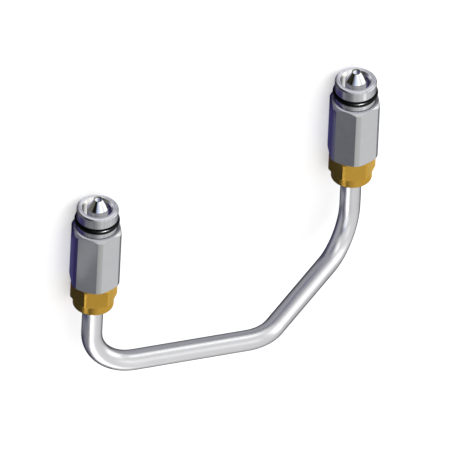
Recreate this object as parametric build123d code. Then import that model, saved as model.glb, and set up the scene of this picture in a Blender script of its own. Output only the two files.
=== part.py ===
from build123d import *
import math
import os

# A double-wall fuel supply tube, in millimetres, as it comes to rest on a bench: it lies on a flat of
# each hexagon body, with its bent middle standing up. X runs from the left fitting to the right one,
# Y along both fittings towards their cones, and Z up. A station is a distance along a fitting's axis
# from the plane of the bent middle. The origin is under the middle of the tube, on the bench.

# Jacket tube, and the fuel pipe inside it
tube_od = 12.0
tube_wall = 1.0
pipe_od = 8.0
pipe_bore = 4.0

# Route of the centre line: three bends of one radius round off its corners
left_leg = 104.0
right_leg = 100.5
middle_turn = 45.0
bend_radius = 26.0
end_leg = 47.5

# Compression nut
nut_af = 24.0
nut_corner_dia = 27.0
nut_length = 17.4
nut_top_dia = 24.4
nut_collar_dia = 23.5
nut_collar_length = 5.7
nut_collar_round = 0.8
nut_floor = 2.6
nut_turned_by = 30.0

# Coupling body, outside
body_af = 27.0
body_corner_dia = 29.6
body_hex_length = 38.9
body_turned_by = 0.0
body_bottom_dia = 27.2
body_top_dia = 26.8
body_top_angle = 45.0
relief_dia = 23.4
relief_length = 2.0
neck_dia = 24.0
lower_land = 1.2
groove_width = 4.1
upper_land = 6.4
rim_round = 1.1
edge_round = 0.25

# Coupling body, inside
mouth_thread_major = 18.0
mouth_thread_pitch = 1.5
mouth_lead_in = 0.1
mouth_lead_in_angle = 60.0
mouth_depth = 23.0
tail_thread_major = 20.0
tail_length = 11.5
tail_lead_in = 0.8
tube_socket_depth = 12.0
seat_mouth_step = 1.25

# O-ring in the neck groove
ring_inside_dia = 20.0
ring_cord = 3.0

# Cone nipple and the thrust sleeve behind it
nipple_dia = 12.0
nipple_proud = 0.2
cone_tip_dia = 5.0
cone_angle = 60.0
tip_countersink = 0.3
pipe_socket_depth = 10.0
sleeve_length = 7.0
sleeve_wall = 3.6

# Cutting ring
cutting_ring_bite = 4.8
cutting_ring_step = 1.9
cutting_ring_lip = 0.35

# What the fitting and thread standards give
minor_dia_per_pitch = 1.0825
hex_chamfer_angle = 30.0
nut_back_angle = 20.0
ring_front_angle = 45.0
nut_seat_angle = 45.0
body_seat_angle = 12.0

# Clearances
nut_gap = 0.5
thread_gap = 0.05
tube_gap = 0.05
pipe_gap = 0.5
sleeve_gap = 0.15
relief_at_seat = 0.6


# A cone's length along the axis between two diameters, where its side leans by angle out of the cross-section
def rise(from_dia, to_dia, angle):
    return abs(to_dia - from_dia) / 2 * math.tan(math.radians(angle))


# The same, where its side leans by half_angle away from the axis
def run(from_dia, to_dia, half_angle):
    return abs(to_dia - from_dia) / 2 / math.tan(math.radians(half_angle))


# Stations up a fitting, from the plane of the bent middle
nut_back = end_leg
nut_front = nut_back + nut_length
body_back = nut_front + nut_gap
hex_front = body_back + body_hex_length
relief_front = hex_front + relief_length
groove_back = relief_front + lower_land
groove_front = groove_back + groove_width
rim = groove_front + upper_land
tail_end = body_back - tail_length
tube_stop = tail_end + tube_socket_depth
shoulder = rim - mouth_depth
nipple_back = shoulder + sleeve_length
pipe_end = nipple_back + pipe_socket_depth
cone_base = rim + nipple_proud
cone_tip = cone_base + run(nipple_dia, cone_tip_dia, cone_angle / 2)

# The body's inner seat, and where the cutting ring sits in it
seat_mouth_dia = tube_od + 2 * seat_mouth_step
tube_hole_dia = tube_od + 2 * tube_gap
mouth_bore_dia = mouth_thread_major - minor_dia_per_pitch * mouth_thread_pitch

# Where the fittings stand, and the corner of the bent middle
turn = math.radians(middle_turn)
spacing = math.sqrt(left_leg ** 2 + right_leg ** 2 + 2 * left_leg * right_leg * math.cos(turn))
left_slope = math.asin(right_leg * math.sin(turn) / spacing)
axis_height = max(body_af, nut_corner_dia) / 2
plane_y = -(cone_tip - tube_od / 2) / 2
apex_x = left_leg * math.cos(left_slope) - spacing / 2
apex_z = axis_height + left_leg * math.sin(left_slope)


# A solid turned about a fitting's axis, from corners given as (diameter, station). Each entry of
# rounds is a corner and the radius that rounds it.
def turned(corners, rounds=()):
    outline = [(dia / 2, station) for dia, station in corners]
    face = make_face(Polyline(*outline, close=True))
    for (dia, station), radius in rounds:
        corner = face.vertices().sort_by_distance((dia / 2, station, 0))[0]
        face = fillet(corner, radius)
    return revolve(face, Axis.Y)


def plain_rod(dia, start, end):
    return turned([(0, start), (dia, start), (dia, end), (0, end)])


# A hexagon bar along a fitting's axis, turned by some degrees from having corners along X
def hexagon_bar(across_flats, start, end, turned_by):
    base = Plane(origin=(0, start, 0), x_dir=(1, 0, 0), z_dir=(0, 1, 0))
    outline = RegularPolygon(across_flats / 2, 6, major_radius=False, rotation=turned_by)
    return extrude(base * outline, end - start)


def compression_nut():
    collar_front = nut_back + nut_collar_length
    corner_back = collar_front + rise(nut_collar_dia, nut_corner_dia, nut_back_angle)
    corner_front = nut_front - rise(nut_top_dia, nut_corner_dia, hex_chamfer_angle)
    barrel = turned(
        [
            (0, nut_back),
            (nut_collar_dia, nut_back),
            (nut_collar_dia, collar_front),
            (nut_corner_dia, corner_back),
            (nut_corner_dia, corner_front),
            (nut_top_dia, nut_front),
            (0, nut_front),
        ],
        [((nut_collar_dia, nut_back), nut_collar_round)],
    )
    collar = plain_rod(nut_collar_dia, nut_back, collar_front)
    outside = barrel & (hexagon_bar(nut_af, nut_back, nut_front, nut_turned_by) + collar)
    thread_dia = tail_thread_major + 2 * thread_gap
    seat_back = nut_back + nut_floor
    seat_dia = cutting_ring_dia() + 2 * relief_at_seat
    seat_front = seat_back + rise(tube_hole_dia, seat_dia, nut_seat_angle)
    inside = turned(
        [
            (0, nut_back),
            (tube_hole_dia, nut_back),
            (tube_hole_dia, seat_back),
            (seat_dia, seat_front),
            (thread_dia, seat_front),
            (thread_dia, nut_front),
            (0, nut_front),
        ]
    )
    return outside - inside


def cutting_ring_dia():
    return tube_od + 2 * cutting_ring_step


# Sits between the body's inner cone and the nut's seat, and grips the jacket tube
def cutting_ring():
    front = tail_end + cutting_ring_bite
    front_dia = seat_mouth_dia - 2 * cutting_ring_bite * math.tan(math.radians(body_seat_angle))
    back_dia = tube_od + 2 * cutting_ring_lip
    back = nut_back + nut_floor + rise(tube_hole_dia, back_dia, nut_seat_angle)
    shoulder_back = back + rise(back_dia, cutting_ring_dia(), nut_seat_angle)
    shoulder_front = tail_end - rise(cutting_ring_dia(), seat_mouth_dia, ring_front_angle)
    return turned(
        [
            (tube_od, back),
            (back_dia, back),
            (cutting_ring_dia(), shoulder_back),
            (cutting_ring_dia(), shoulder_front),
            (seat_mouth_dia, tail_end),
            (front_dia, front),
            (tube_od, front),
        ]
    )


def coupling_body():
    corner_back = body_back + rise(body_bottom_dia, body_corner_dia, hex_chamfer_angle)
    corner_front = hex_front - rise(body_top_dia, body_corner_dia, body_top_angle)
    barrel = turned(
        [
            (0, body_back),
            (body_bottom_dia, body_back),
            (body_corner_dia, corner_back),
            (body_corner_dia, corner_front),
            (body_top_dia, hex_front),
            (0, hex_front),
        ]
    )
    middle = barrel & hexagon_bar(body_af, body_back, hex_front, body_turned_by)
    neck = turned(
        [
            (0, hex_front),
            (relief_dia, hex_front),
            (relief_dia, relief_front),
            (neck_dia, relief_front),
            (neck_dia, groove_back),
            (ring_inside_dia, groove_back),
            (ring_inside_dia, groove_front),
            (neck_dia, groove_front),
            (neck_dia, rim),
            (0, rim),
        ],
        [
            ((neck_dia, rim), rim_round),
            ((neck_dia, groove_front), edge_round),
            ((neck_dia, groove_back), edge_round),
        ],
    )
    tail_lead_dia = tail_thread_major - 2 * tail_lead_in
    tail = turned(
        [
            (0, tail_end),
            (tail_lead_dia, tail_end),
            (tail_thread_major, tail_end + tail_lead_in),
            (tail_thread_major, body_back),
            (0, body_back),
        ]
    )
    return middle + neck + tail - body_bore()


# From the tail: the 24 degree seat, the jacket tube's socket, the pipe's hole and the threaded mouth
def body_bore():
    pipe_hole_dia = pipe_od + 2 * pipe_gap
    mouth_dia = mouth_thread_major + 2 * mouth_lead_in
    mouth_start = rim - rise(mouth_dia, mouth_bore_dia, mouth_lead_in_angle)
    seat_end = tail_end + run(seat_mouth_dia, tube_hole_dia, body_seat_angle)
    return turned(
        [
            (0, tail_end),
            (seat_mouth_dia, tail_end),
            (tube_hole_dia, seat_end),
            (tube_hole_dia, tube_stop),
            (pipe_hole_dia, tube_stop),
            (pipe_hole_dia, shoulder),
            (mouth_bore_dia, shoulder),
            (mouth_bore_dia, mouth_start),
            (mouth_dia, rim),
            (0, rim),
        ]
    )


def neck_o_ring():
    middle_dia = ring_inside_dia + ring_cord
    middle = (groove_back + groove_front) / 2
    section = Pos(middle_dia / 2, middle) * Circle(ring_cord / 2)
    return revolve(section, Axis.Y)


# Brazed on the end of the fuel pipe. Its cone seals in the mating screw.
def cone_nipple():
    funnel_dia = pipe_bore + 2 * tip_countersink
    return turned(
        [
            (pipe_od, nipple_back),
            (nipple_dia, nipple_back),
            (nipple_dia, cone_base),
            (cone_tip_dia, cone_tip),
            (funnel_dia, cone_tip),
            (pipe_bore, cone_tip - tip_countersink),
            (pipe_bore, pipe_end),
            (pipe_od, pipe_end),
        ]
    )


# Carries the body's pull from its inner shoulder to the back of the nipple
def thrust_sleeve():
    hole_dia = pipe_od + 2 * sleeve_gap
    outside_dia = hole_dia + 2 * sleeve_wall
    return turned(
        [
            (hole_dia, shoulder),
            (outside_dia, shoulder),
            (outside_dia, nipple_back),
            (hole_dia, nipple_back),
        ]
    )


# The centre line between two stations, one up each fitting
def route(station):
    end_y = plane_y + station
    return FilletPolyline(
        (-spacing / 2, end_y, axis_height),
        (-spacing / 2, plane_y, axis_height),
        (apex_x, plane_y, apex_z),
        (spacing / 2, plane_y, axis_height),
        (spacing / 2, end_y, axis_height),
        radius=bend_radius,
    )


def bent_tube(outside_dia, inside_dia, station):
    line = route(station)
    start = Plane(origin=line @ 0, z_dir=line % 0)
    section = Circle(outside_dia / 2) - Circle(inside_dia / 2)
    return sweep(start * section, path=line)


nodes = {
    "jacket_tube": bent_tube(tube_od, tube_od - 2 * tube_wall, tube_stop),
    "fuel_pipe": bent_tube(pipe_od, pipe_bore, pipe_end),
}
fitting_pieces = {
    "compression_nut": compression_nut(),
    "cutting_ring": cutting_ring(),
    "coupling_body": coupling_body(),
    "neck_o_ring": neck_o_ring(),
    "cone_nipple": cone_nipple(),
    "thrust_sleeve": thrust_sleeve(),
}
for side, x in (("left", -spacing / 2), ("right", spacing / 2)):
    for name, piece in fitting_pieces.items():
        nodes[f"{name}_{side}"] = Pos(x, plane_y, axis_height) * piece

os.makedirs("parts", exist_ok=True)
for name, piece in nodes.items():
    export_step(piece, f"parts/{name}.step")
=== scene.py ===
import bpy
import math
from mathutils import Matrix, Vector


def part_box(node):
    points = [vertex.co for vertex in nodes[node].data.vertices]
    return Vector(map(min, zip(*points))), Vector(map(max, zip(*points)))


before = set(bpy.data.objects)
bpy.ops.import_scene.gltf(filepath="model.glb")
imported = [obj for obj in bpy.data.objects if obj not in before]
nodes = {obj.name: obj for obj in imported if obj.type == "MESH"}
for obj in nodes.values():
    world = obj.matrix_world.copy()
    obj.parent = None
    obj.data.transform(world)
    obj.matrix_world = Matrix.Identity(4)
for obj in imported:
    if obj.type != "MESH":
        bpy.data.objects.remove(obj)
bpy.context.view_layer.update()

# Where the fittings' axes stand and where they end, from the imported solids
left_low, left_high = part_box("coupling_body_left")
right_low, right_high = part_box("coupling_body_right")
axis_x = (right_low.x + right_high.x - left_low.x - left_high.x) / 4
axis_z = (left_low.z + left_high.z) / 2
rim_y = left_high.y
tip_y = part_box("cone_nipple_left")[1].y

# The two fittings, by the sign of their x
left = -1
right = 1

# Camera: a view without perspective that matches the photograph's
view_width = 0.25540
view_lean = math.asin(0.64184)
view_swing = math.radians(40.870)
view_roll = math.radians(2.778)
view_aim = Vector((-0.0042, 0.00534, 0.0202))
view_distance = 1.2
view_start = 0.01
view_end = 10


def photograph_camera():
    data = bpy.data.cameras.new("camera")
    data.type = "ORTHO"
    data.ortho_scale = view_width
    data.clip_start = view_start
    data.clip_end = view_end
    camera = bpy.data.objects.new("camera", data)
    bpy.context.scene.collection.objects.link(camera)
    lean_sin = math.sin(view_lean)
    lean_cos = math.cos(view_lean)
    swing_sin = math.sin(view_swing)
    swing_cos = math.cos(view_swing)
    back = Vector((-lean_cos * swing_sin, lean_sin, lean_cos * swing_cos))
    level = Vector((swing_cos, 0, swing_sin))
    upright = back.cross(level)
    side = level * math.cos(view_roll) + upright * math.sin(view_roll)
    up = back.cross(side)
    place = Matrix((side, up, back)).transposed().to_4x4()
    place.translation = view_aim + back * view_distance
    camera.matrix_world = place
    bpy.context.scene.camera = camera


# The numbers that noise mostly stays between, and the share of its small swirls
noise_low = 0.3
noise_high = 0.7
noise_roughness = 0.55


# Builds shader nodes in one tree. A value is a number, a colour or another node's socket.
class Graph:
    def __init__(self, tree):
        self.tree = tree

    def put(self, socket, value):
        if isinstance(value, bpy.types.NodeSocket):
            self.tree.links.new(value, socket)
        elif isinstance(value, tuple) and socket.type == "RGBA":
            socket.default_value = (*value, 1)
        else:
            socket.default_value = value

    def add(self, kind, inputs=None, **settings):
        made = self.tree.nodes.new("ShaderNode" + kind)
        for key, value in settings.items():
            setattr(made, key, value)
        for key, value in (inputs or {}).items():
            self.put(made.inputs[key], value)
        return made

    def math(self, operation, *values):
        made = self.add("Math", operation=operation)
        for socket, value in zip(made.inputs, values):
            self.put(socket, value)
        return made.outputs[0]

    def product(self, value, *others):
        for other in others:
            value = self.math("MULTIPLY", value, other)
        return value

    # Turns the numbers from low to high into those from to_low to to_high, and stays between these
    def span(self, value, low, high, to_low=0.0, to_high=1.0, smooth=False):
        made = self.add(
            "MapRange",
            {0: value, 1: low, 2: high, 3: to_low, 4: to_high},
            interpolation_type="SMOOTHSTEP" if smooth else "LINEAR",
        )
        return made.outputs[0]

    # A number that a share between zero and one moves from the first to the second
    def between(self, share, first, second):
        return self.span(share, 0, 1, first, second)

    def mix(self, share, first, second, blend="MIX"):
        made = self.add("Mix", data_type="RGBA", blend_type=blend)
        self.put(made.inputs[0], share)
        self.put(made.inputs[6], first)
        self.put(made.inputs[7], second)
        return made.outputs[2]

    def noise(self, vector, scale, detail):
        inputs = {"Vector": vector, "Scale": scale, "Detail": detail, "Roughness": noise_roughness}
        return self.add("TexNoise", inputs).outputs[0]

    def vector(self, x, y, z):
        return self.add("CombineXYZ", {0: x, 1: y, 2: z}).outputs[0]

    def stretched(self, vector, by):
        return self.add("VectorMath", {0: vector, 1: by}, operation="MULTIPLY").outputs[0]

    def length(self, vector):
        return self.add("VectorMath", {0: vector}, operation="LENGTH").outputs["Value"]

    def dot(self, first, second):
        return self.add("VectorMath", {0: first, 1: second}, operation="DOT_PRODUCT").outputs["Value"]

    def bump(self, height, depth, strength, normal=None):
        made = self.add("Bump", {"Height": height, "Distance": depth, "Strength": strength})
        if normal is not None:
            self.put(made.inputs["Normal"], normal)
        return made.outputs[0]

    def place(self):
        return self.add("TexCoord").outputs["Object"]

    # One for a ray from the camera, and one for a ray that a surface mirrors or lets through
    def ray_kinds(self):
        path = self.add("LightPath").outputs
        mirrored = self.math("MAXIMUM", path["Is Glossy Ray"], path["Is Transmission Ray"])
        return path["Is Camera Ray"], mirrored


# The tree of a new material
class MaterialGraph(Graph):
    def __init__(self, name):
        self.material = bpy.data.materials.new(name)
        self.material.use_nodes = True
        super().__init__(self.material.node_tree)
        self.tree.nodes.clear()
        self.output = self.tree.nodes.new("ShaderNodeOutputMaterial")

    # The material, with this shader as its surface
    def surfaced(self, shader):
        self.put(self.output.inputs["Surface"], shader.outputs[0])
        return self.material


# The place round a fitting's axis: along the axis, away from it, and the distance from it
class RoundTheAxis:
    def __init__(self, g):
        x, y, z = g.add("SeparateXYZ", {0: g.place()}).outputs
        across = g.math("SUBTRACT", x, g.product(g.math("SIGN", x), axis_x))
        above = g.math("SUBTRACT", z, axis_z)
        self.along = y
        self.outward = g.vector(across, 0.0, above)
        self.radius = g.length(self.outward)


# Surfaces: the two ends of a finish's roughness, how far fine lines and grain stand up, how round an
# edge looks, and how open a place is in the depth of a crease and outside it, for painted crease shade
satin = (0.27, 0.33)
fine_relief = 0.000003
edge_radius = 0.00014
crease_reach = 0.0009
crease_openness = (0.55, 0.95)


# A colour that drifts between two shades
def mottled(g, shades, scale, detail):
    return g.mix(g.noise(g.place(), scale, detail), *shades)


# A number that drifts between two ends
def uneven(g, ends, scale, detail):
    return g.span(g.noise(g.place(), scale, detail), noise_low, noise_high, *ends)


# Fine lines round the axis, as a lathe leaves them
def turned_lines(g, at, scale):
    return g.noise(g.vector(at.radius, at.along, 0.0), scale, detail=2)


def shaded(g, colour, brightness):
    return g.mix(1.0, colour, g.vector(brightness, brightness, brightness), "MULTIPLY")


def soft_edges(g, radius=edge_radius):
    return g.add("Bevel", {"Radius": radius}, samples=6).outputs[0]


# One on open surfaces, and less in narrow steps and grooves: painted shade that darkens the colour
# there
def painted_crease_shade(g, lowest):
    seen = g.add("AmbientOcclusion", {"Distance": crease_reach}, samples=8).outputs["AO"]
    return g.span(seen, *crease_openness, lowest, 1.0)


# One on an edge, where a rounded surface of this radius turns away from the flat one: it marks wear
# and a painted highlight. The turn is
# the cosine of the angle between the two: the mark starts at one turn and is full at another.
def edge_wear_and_highlight(g, radius, first_turn, full_turn):
    plain = g.add("NewGeometry").outputs["Normal"]
    return g.span(g.dot(soft_edges(g, radius), plain), first_turn, full_turn, smooth=True)


def metal(g, colour, roughness, normal, metallic=1.0, edge_tint=(1.0, 1.0, 1.0)):
    inputs = {
        "Base Color": colour,
        "Metallic": metallic,
        "Roughness": roughness,
        "Normal": normal,
        "Specular Tint": edge_tint,
    }
    return g.surfaced(g.add("BsdfPrincipled", inputs))


# Tube: bright drawn steel
tube_shades = ((0.58, 0.58, 0.59), (0.64, 0.64, 0.65))
tube_edge_tint = (0.0, 0.0, 0.03)


def tube_material():
    g = MaterialGraph("tube_steel")
    colour = mottled(g, tube_shades, scale=60, detail=4)
    roughness = uneven(g, satin, scale=150, detail=5)
    grain = g.noise(g.place(), scale=2200, detail=3)
    normal = g.bump(grain, fine_relief, strength=0.2)
    return metal(g, colour, roughness, normal, edge_tint=tube_edge_tint)


# Bodies: satin plating. Distances from the axis tell their surfaces apart.
bore_radius = 0.0093
neck_radius = 0.0122
flat_radius = 0.0133
corner_radius = 0.01474
body_shades = ((0.50, 0.505, 0.515), (0.555, 0.56, 0.57))
corner_colour = (0.44, 0.45, 0.445)
body_edge_colour = (0.78, 0.78, 0.79)
# Painted light: the bore wall paler than the body
painted_bore_light = (0.80, 0.79, 0.76)
body_edge_tint = (0.35, 0.35, 0.40)
body_wear_and_highlight_share = 0.35
grain_stretch = (1.0, 0.02, 1.0)
streak_noise = (0.35, 0.65)
streak_brightness = (0.86, 1.06)

# The painted highlight: a bright line round the near side of a rim's edge
rim_edge_radius = 0.01065
rim_edge_reach = 0.0008
rim_near_side = (-0.654, 0.0, 0.756)
rim_line_start = 0.001
rim_line_full = 0.006
painted_rim_highlight_colour = (1.0, 1.0, 1.0)


# One on the rim's painted highlight
def on_painted_rim_highlight(g, at):
    off_edge = g.math("ABSOLUTE", g.math("SUBTRACT", at.radius, rim_edge_radius))
    at_edge = g.span(off_edge, rim_edge_reach, rim_edge_reach / 2, smooth=True)
    at_rim = g.math("GREATER_THAN", at.along, rim_y - rim_edge_reach)
    towards_near = g.dot(at.outward, rim_near_side)
    on_near_side = g.span(towards_near, rim_line_start, rim_line_full, smooth=True)
    return g.product(at_edge, at_rim, on_near_side)


def body_material():
    g = MaterialGraph("body_steel")
    at = RoundTheAxis(g)
    along_the_bar = g.stretched(g.place(), grain_stretch)
    on_corner = g.math("GREATER_THAN", at.radius, corner_radius)
    off_corner = g.math("SUBTRACT", 1.0, on_corner)
    on_flat = g.product(g.math("GREATER_THAN", at.radius, flat_radius), off_corner)
    on_neck = g.math("LESS_THAN", at.radius, neck_radius)
    in_bore = g.math("LESS_THAN", at.radius, bore_radius)
    streaks = g.noise(along_the_bar, scale=800, detail=2)
    streaks = g.span(streaks, *streak_noise, *streak_brightness)
    wear_and_glint = edge_wear_and_highlight(g, radius=0.0003, first_turn=0.99, full_turn=0.90)
    colour = mottled(g, body_shades, scale=90, detail=4)
    colour = g.mix(on_corner, colour, corner_colour)
    colour = g.mix(on_neck, colour, shaded(g, colour, streaks))
    # Paler edges: wear, and a painted highlight along them
    colour = g.mix(g.between(wear_and_glint, 0, body_wear_and_highlight_share), colour, body_edge_colour)
    # Painted shade in creases and steps
    colour = shaded(g, colour, painted_crease_shade(g, lowest=0.08))
    # The bore wall painted pale: painted light
    colour = g.mix(in_bore, colour, painted_bore_light)
    colour = g.mix(on_painted_rim_highlight(g, at), colour, painted_rim_highlight_colour)
    roughness = uneven(g, satin, scale=260, detail=5)
    drawn_lines = g.noise(along_the_bar, scale=4200, detail=2)
    lines = g.between(on_flat, turned_lines(g, at, scale=5200), drawn_lines)
    normal = g.bump(lines, fine_relief, strength=0.3, normal=soft_edges(g))
    return metal(g, colour, roughness, normal, edge_tint=body_edge_tint)


# Nuts: yellow passivation, paler and less metallic along its edges and corners, from wear and a
# painted highlight
nut_corner_radius = 0.01348
nut_corner_reach = 0.0002
nut_shades = ((0.45, 0.255, 0.035), (0.515, 0.31, 0.055))
nut_edge_colour = (0.57, 0.34, 0.055)
nut_edge_tint = (1.0, 0.85, 0.5)
nut_wear_and_highlight_share = 0.8
nut_edge_metallic = 0.9


def nut_material():
    g = MaterialGraph("nut_yellow")
    at = RoundTheAxis(g)
    on_corner = g.span(at.radius, nut_corner_radius - nut_corner_reach, nut_corner_radius, smooth=True)
    wear_and_glint = edge_wear_and_highlight(g, radius=0.0005, first_turn=0.995, full_turn=0.93)
    edge = g.math("MAXIMUM", wear_and_glint, on_corner)
    colour = mottled(g, nut_shades, scale=110, detail=4)
    # Paler edges and corners: wear, and a painted highlight
    colour = g.mix(g.between(edge, 0, nut_wear_and_highlight_share), colour, nut_edge_colour)
    # Painted shade in creases and steps
    colour = shaded(g, colour, painted_crease_shade(g, lowest=0.4))
    roughness = uneven(g, satin, scale=300, detail=5)
    lines = turned_lines(g, at, scale=4200)
    normal = g.bump(lines, fine_relief, strength=0.3, normal=soft_edges(g))
    metallic = g.between(edge, 1.0, nut_edge_metallic)
    return metal(g, colour, roughness, normal, metallic, nut_edge_tint)


# Cone nipples: polished in front, plainer on their side in the mouth, with a painted shade line
# between. The ring round the tip is painted dark and the fuel hole pale, as painted reflections; the
# hole is told from the ring by its depth.
tip_radius = 0.00262
tip_depth = 0.0007
nipple_radius = 0.00585
base_line_y = rim_y + 0.0002
base_line_reach = 0.00013
cone_shades = ((0.76, 0.765, 0.78), (0.84, 0.845, 0.86))
nipple_side_colour = (0.46, 0.46, 0.49)
nipple_side_metallic = 0.35
painted_tip_reflection = (0.20, 0.21, 0.13)
painted_hole_reflection = (0.80, 0.84, 0.95)
base_shade_line_colour = (0.12, 0.12, 0.13)
polish = (0.06, 0.10)
polished_relief = 0.000001


def cone_material():
    g = MaterialGraph("cone_polish")
    at = RoundTheAxis(g)
    on_side = g.math("GREATER_THAN", at.radius, nipple_radius)
    on_tip = g.math("LESS_THAN", at.radius, tip_radius)
    in_hole = g.product(on_tip, g.math("LESS_THAN", at.along, tip_y - tip_depth))
    on_base_line = g.math("COMPARE", at.along, base_line_y, base_line_reach)
    colour = mottled(g, cone_shades, scale=300, detail=3)
    colour = g.mix(on_side, colour, nipple_side_colour)
    # Painted reflections: a dark ring round the tip and a pale hole
    colour = g.mix(on_tip, colour, painted_tip_reflection)
    colour = g.mix(in_hole, colour, painted_hole_reflection)
    # Painted shade: a dark line along the cone's base edge
    colour = g.mix(on_base_line, colour, base_shade_line_colour)
    roughness = uneven(g, polish, scale=500, detail=4)
    lines = turned_lines(g, at, scale=6000)
    normal = g.bump(lines, polished_relief, strength=0.2, normal=soft_edges(g))
    metallic = g.between(on_side, 1.0, nipple_side_metallic)
    return metal(g, colour, roughness, normal, metallic)


# O-rings: black oiled rubber
rubber_shades = ((0.0006, 0.0006, 0.0007), (0.0015, 0.0015, 0.0017))
rubber_roughness = (0.26, 0.32)
rubber_gloss = 0.04


def ring_material():
    g = MaterialGraph("ring_rubber")
    grain = g.noise(g.place(), scale=5200, detail=3)
    inputs = {
        "Base Color": mottled(g, rubber_shades, scale=400, detail=4),
        "Roughness": uneven(g, rubber_roughness, scale=700, detail=4),
        "Normal": g.bump(grain, fine_relief, strength=0.2),
        "Specular IOR Level": rubber_gloss,
    }
    return g.surfaced(g.add("BsdfPrincipled", inputs))


# Hidden pieces: plain turned steel
inner_shades = ((0.42, 0.42, 0.43), (0.52, 0.52, 0.53))
inner_roughness = (0.30, 0.42)
inner_relief = 0.000004


def inner_material():
    g = MaterialGraph("inner_steel")
    colour = mottled(g, inner_shades, scale=140, detail=4)
    roughness = uneven(g, inner_roughness, scale=300, detail=4)
    grain = g.noise(g.place(), scale=3000, detail=3)
    normal = g.bump(grain, inner_relief, strength=0.3)
    return metal(g, colour, roughness, normal)


# The pieces mirror the studio and not each other, as in the photograph
def dress_the_nodes():
    inner_steel = inner_material()
    finishes = {
        "jacket_tube": tube_material(),
        "compression_nut": nut_material(),
        "coupling_body": body_material(),
        "cone_nipple": cone_material(),
        "neck_o_ring": ring_material(),
        "fuel_pipe": inner_steel,
        "thrust_sleeve": inner_steel,
        "cutting_ring": inner_steel,
    }
    for name, node in nodes.items():
        kind = name.removesuffix("_left").removesuffix("_right")
        node.visible_glossy = False
        node.data.materials.clear()
        node.data.materials.append(finishes[kind])


# A flat sheet that belongs to the studio, with its middle at its own origin
def stage_sheet(name, width, depth):
    mesh = bpy.data.meshes.new(name)
    x = width / 2
    y = depth / 2
    mesh.from_pydata([(-x, -y, 0), (x, -y, 0), (x, y, 0), (-x, y, 0)], [], [(0, 1, 2, 3)])
    sheet = bpy.data.objects.new(name, mesh)
    bpy.context.scene.collection.objects.link(sheet)
    return sheet


# A new material that may glow without being sampled as a lamp
def glowing(name):
    g = MaterialGraph(name)
    g.material.cycles.emission_sampling = "NONE"
    return g


white = (1.0, 1.0, 1.0)
floor_size = 8.0
floor_drop = 0.0001
floor_colour = (0.93, 0.93, 0.93)
floor_glow = 0.42
mirrored_floor_glow = 0.15


# The floor takes the object's shadow, and is lifted to white where it is looked at
def pale_floor():
    floor = stage_sheet("floor", floor_size, floor_size)
    floor.location.z = -floor_drop
    g = glowing("floor_paper")
    looked_at, mirrored = g.ray_kinds()
    glow = g.math("ADD", g.product(looked_at, floor_glow), g.product(mirrored, mirrored_floor_glow))
    lit = g.add("BsdfDiffuse", {"Color": floor_colour}).outputs[0]
    lifted = g.add("Emission", {"Color": white, "Strength": glow}).outputs[0]
    floor.data.materials.append(g.surfaced(g.add("AddShader", {0: lit, 1: lifted})))


world_level = 0.72


# The world is white where it is looked at or mirrored, and a little dimmer as a light
def pale_world():
    world = bpy.data.worlds.new("studio")
    world.use_nodes = True
    bpy.context.scene.world = world
    g = Graph(world.node_tree)
    seen = g.math("MAXIMUM", *g.ray_kinds())
    background = world.node_tree.nodes["Background"]
    g.put(background.inputs["Color"], white)
    g.put(background.inputs["Strength"], g.between(seen, world_level, 1.0))


# A card that only reflections see, as a studio's flags are kept out of the picture. It fades out at
# its edges, by a share of its width and of its depth.
def card(name, colour, size, place, facing, fade):
    sheet = stage_sheet(name, *size)
    sheet.rotation_mode = "QUATERNION"
    sheet.rotation_quaternion = Vector(facing).to_track_quat("Z", "Y")
    sheet.location = place
    sheet.visible_camera = False
    sheet.visible_diffuse = False
    sheet.visible_transmission = False
    sheet.visible_volume_scatter = False
    sheet.visible_shadow = False
    g = glowing(name)
    shares = g.add("SeparateXYZ", {0: g.add("TexCoord").outputs["Generated"]}).outputs
    covers = []
    for share, share_of_fade in zip(shares, fade):
        off_edge = g.math("MINIMUM", share, g.math("SUBTRACT", 1.0, share))
        covers.append(g.span(off_edge, 0.0, share_of_fade, smooth=True))
    glow = g.add("Emission", {"Color": colour, "Strength": 1.0}).outputs[0]
    clear = g.add("BsdfTransparent").outputs[0]
    shader = g.add("MixShader", {0: g.product(*covers), 1: clear, 2: glow})
    sheet.data.materials.append(g.surfaced(shader))


layer_height = 0.0001
fence_foot = -0.002
upwards = (0, 0, 1)
to_the_right = (1, 0, 0)
narrow_fade = (0.1, 0.1)
wide_fade = (0.3, 0.3)


# A card that lies on the floor. Where two lie on each other, the higher layer is the one seen.
def floor_patch(name, colour, across, along, layer, fade=narrow_fade):
    size = (across[1] - across[0], along[1] - along[0])
    middle = (sum(across) / 2, sum(along) / 2, layer * layer_height)
    card(name, colour, size, middle, upwards, fade)


# A card that stands on edge beside a fitting, square to x. Its foot is under the floor.
def fence(name, colour, x, along, top):
    size = (along[1] - along[0], top - fence_foot)
    middle = (x, sum(along) / 2, (top + fence_foot) / 2)
    card(name, colour, size, middle, to_the_right, narrow_fade)


# What the fittings mirror: the dark patches under and beside the fittings are painted shade and the
# glint patches painted highlights, seen only in reflections. A colour that differs between them is
# given by side.
black = (0.01, 0.01, 0.008)
dim = (0.165, 0.165, 0.185)
navy = (0.055, 0.045, 0.18)
glint = (1.35, 1.35, 1.45)
under_flat_glow = {left: (0.21, 0.20, 0.50), right: (0.145, 0.135, 0.41)}
corner_glow = {left: navy, right: (0.20, 0.20, 0.34)}
cone_glow = {left: (0.17, 0.16, 0.135), right: (0.03, 0.028, 0.02)}

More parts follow.
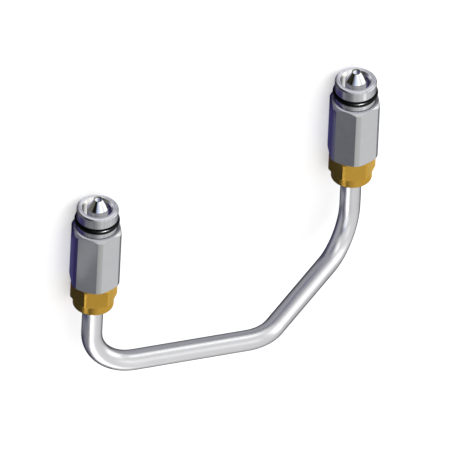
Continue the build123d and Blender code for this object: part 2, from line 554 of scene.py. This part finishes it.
# Name, colour, from and to across from the axis, from and to along it, and layer
fitting_patches = (
    ("rim_card", (0.70, 0.70, 0.78), (-0.004, 0.060), (0.044, 0.125), 4),
    ("glint_card", glint, (-0.005, 0.036), (0.049, 0.069), 5),
    ("side_glint_card", glint, (0.029, 0.060), (0.074, 0.100), 5),
    ("leg_card", (0.08, 0.08, 0.17), (-0.022, 0.006), (-0.110, -0.040), 5),
    ("body_card", (0.085, 0.07, 0.27), (-0.026, 0.003), (-0.016, 0.050), 6),
    ("under_flat_card", under_flat_glow, (-0.0125, -0.0065), (-0.020, 0.036), 7),
    ("throat_card", (0.025, 0.02, 0.085), (-0.014, 0.012), (0.0365, 0.0575), 8),
    ("cone_card", cone_glow, (-0.024, -0.0105), (0.056, 0.074), 9),
)

body_fence_start = -0.010
body_fence_top = 0.0125
beside_the_cone = (0.055, 0.090)

# Name, colour, place across from the axis, from and to along it, and top
fitting_fences = (
    ("body_fence", navy, -0.024, (body_fence_start, 0.052), body_fence_top),
    ("corner_fence", corner_glow, -0.0235, (body_fence_start, 0.034), body_fence_top),
    ("cone_side_fence", (0.06, 0.06, 0.05), 0.016, (0.050, 0.0592), 0.0225),
    ("cone_fence", black, -0.022, beside_the_cone, 0.021),
    ("low_cone_fence", cone_glow, -0.0215, beside_the_cone, 0.0135),
)


def for_side(colour, side):
    return colour[side] if isinstance(colour, dict) else colour


def cards_by_the_fitting(side):
    x = side * axis_x
    for name, colour, across, along, layer in fitting_patches:
        floor_patch(name, for_side(colour, side), (x + across[0], x + across[1]), along, layer)
    for name, colour, across, along, top in fitting_fences:
        fence(name, for_side(colour, side), x + across, along, top)
    place = (x - 0.018, -0.014, 0.006)
    facing = (0.504, 0.645, 0.574)
    card("nut_card", (0.08, 0.10, 0.20), (0.028, 0.026), place, facing, narrow_fade)


pale_blue = (0.70, 0.82, 1.10)
mid_grey = (0.32, 0.33, 0.35)
pale_grey = (0.58, 0.58, 0.60)
almost_right = (1, 0.09, 0)
beside_the_left_cone = (-axis_x - 0.012, 0.0665, 0.01825)

# Name, colour, width and depth, place, direction it faces, and fade
standing_cards = (
    ("blue_card", pale_blue, (0.6, 0.6), (-0.64, 0.36, 0.64), (0.64, -0.36, -0.64), wide_fade),
    ("left_card", dim, (2.0, 1.3), (-0.5, -0.05, 0.10), almost_right, (0.2, 0.42)),
    ("near_left_card", mid_grey, (0.24, 0.5), (-0.48, -0.27, 0.10), almost_right, (0.3, 0.4)),
    ("upper_left_card", pale_grey, (0.50, 0.46), (-0.56, -0.97, 1.0), (0.56, 0.97, -1.0), wide_fade),
    ("cone_band_card", black, (0.014, 0.0095), beside_the_left_cone, to_the_right, narrow_fade),
    ("front_left_card", dim, (0.45, 0.30), (-0.24, -0.60, 0.09), (0.37, 0.93, 0), (0.2, 0.3)),
)


def cards_round_the_part():
    floor_patch("floor_card", (0.30, 0.30, 0.36), (-0.8, 0.8), (-0.63, 0.57), 2, (0.2, 0.2))
    floor_patch("run_card", (0.52, 0.52, 0.57), (-0.12, 0.26), (-0.078, 0.044), 3, (0.1, 0.15))
    # A dark strip under the tube: painted shade where its shadow lies, seen only in reflections
    floor_patch("under_card", (0.02, 0.02, 0.05), (-0.10, 0.115), (-0.076, -0.052), 4, (0.03, 0.12))
    for side in (left, right):
        cards_by_the_fitting(side)
    for row in standing_cards:
        card(*row)


# A lamp that faces the object, and its brightness, where 1 is as bright as white paper in this light.
# Its width runs level, or along another direction, and it may light some nodes alone.
def softbox(name, place, size, brightness, along=None, lit_nodes=(), toward=view_aim):
    data = bpy.data.lights.new(name, "AREA")
    data.shape = "RECTANGLE"
    data.size, data.size_y = size
    data.energy = math.pi * data.size * data.size_y * brightness
    lamp = bpy.data.objects.new(name, data)
    bpy.context.scene.collection.objects.link(lamp)
    place = Vector(place)
    back = (place - Vector(toward)).normalized()
    side = Vector(along) if along else Vector((-back.y, back.x, 0))
    side = (side - back * side.dot(back)).normalized()
    turn = Matrix((side, back.cross(side), back)).transposed().to_4x4()
    turn.translation = place
    lamp.matrix_world = turn
    lamp.visible_camera = False
    if lit_nodes:
        lit = bpy.data.collections.new(name)
        for node in lit_nodes:
            lit.objects.link(nodes[node])
        lamp.light_linking.receiver_collection = lit
        lamp.visible_diffuse = False


# The names of the left and the right node of one kind
def pair(kind):
    return (kind + "_left", kind + "_right")


def lamps_for_the_part():
    softbox("key_softbox", (0.90, 0.22, 0.60), (0.9, 0.7), 1.0)
    softbox("top_softbox", (0.0, 0.20, 1.10), (0.5, 0.5), 0.5)
    softbox("front_softbox", (0.16, 1.0, 0.38), (0.6, 0.4), 1.0)


# The rubber mirrors very little, so only a very bright strip draws the glint on it
def lamps_for_the_rings():
    glint_run = (0.75, 0.66, -0.1)
    softbox("ring_strip", (-0.11, 0.51, 1.01), (0.50, 0.06), 4000, glint_run, pair("neck_o_ring"))


def lamps_for_the_nuts():
    nuts = pair("compression_nut")
    for side in (left, right):
        x = side * axis_x
        softbox("nut_spot", (x - 0.227, -0.194, 0.060), (0.06, 0.06), 2.6, lit_nodes=nuts)
        place = (x + 0.058, -0.041, 0.006)
        aim = (x + 0.012, -0.003, axis_z)
        softbox("low_nut_spot", place, (0.034, 0.024), 0.9, lit_nodes=nuts, toward=aim)


def lamps_for_the_tube():
    along_the_fittings = (0, 1, 0)
    strips = (
        ("left_leg_strip", (-0.233, -0.275, 0.163), (0.25, 0.050), 4.0),
        ("right_leg_strip", (-0.1555, -0.26, 0.110), (0.14, 0.19), 1.5),
        ("right_bend_strip", (-0.22, -0.04, 0.19), (0.27, 0.20), 1.2),
    )
    for name, place, size, brightness in strips:
        softbox(name, place, size, brightness, along_the_fittings, ("jacket_tube",))


# One lights the right body's neck, and one draws the paler band on the left body's left flat
def lamps_for_the_bodies():
    left_body, right_body = pair("coupling_body")
    neck_place = (axis_x + 0.088, -0.26, 0.390)
    softbox("neck_spot", neck_place, (0.11, 0.11), 1.2, lit_nodes=(right_body,))
    band_place = (-0.1300, 0.0215, 0.0265)
    band_run = (-0.479, 0.690, 0.543)
    band_aim = (-0.1110, 0.0374, 0.0230)
    softbox("flat_band_strip", band_place, (0.040, 0.011), 0.15, band_run, (left_body,), band_aim)


photograph_camera()
dress_the_nodes()
pale_floor()
pale_world()
lamps_for_the_part()
lamps_for_the_rings()
lamps_for_the_nuts()
lamps_for_the_tube()
lamps_for_the_bodies()
cards_round_the_part()
bpy.context.scene.view_settings.view_transform = "Standard"
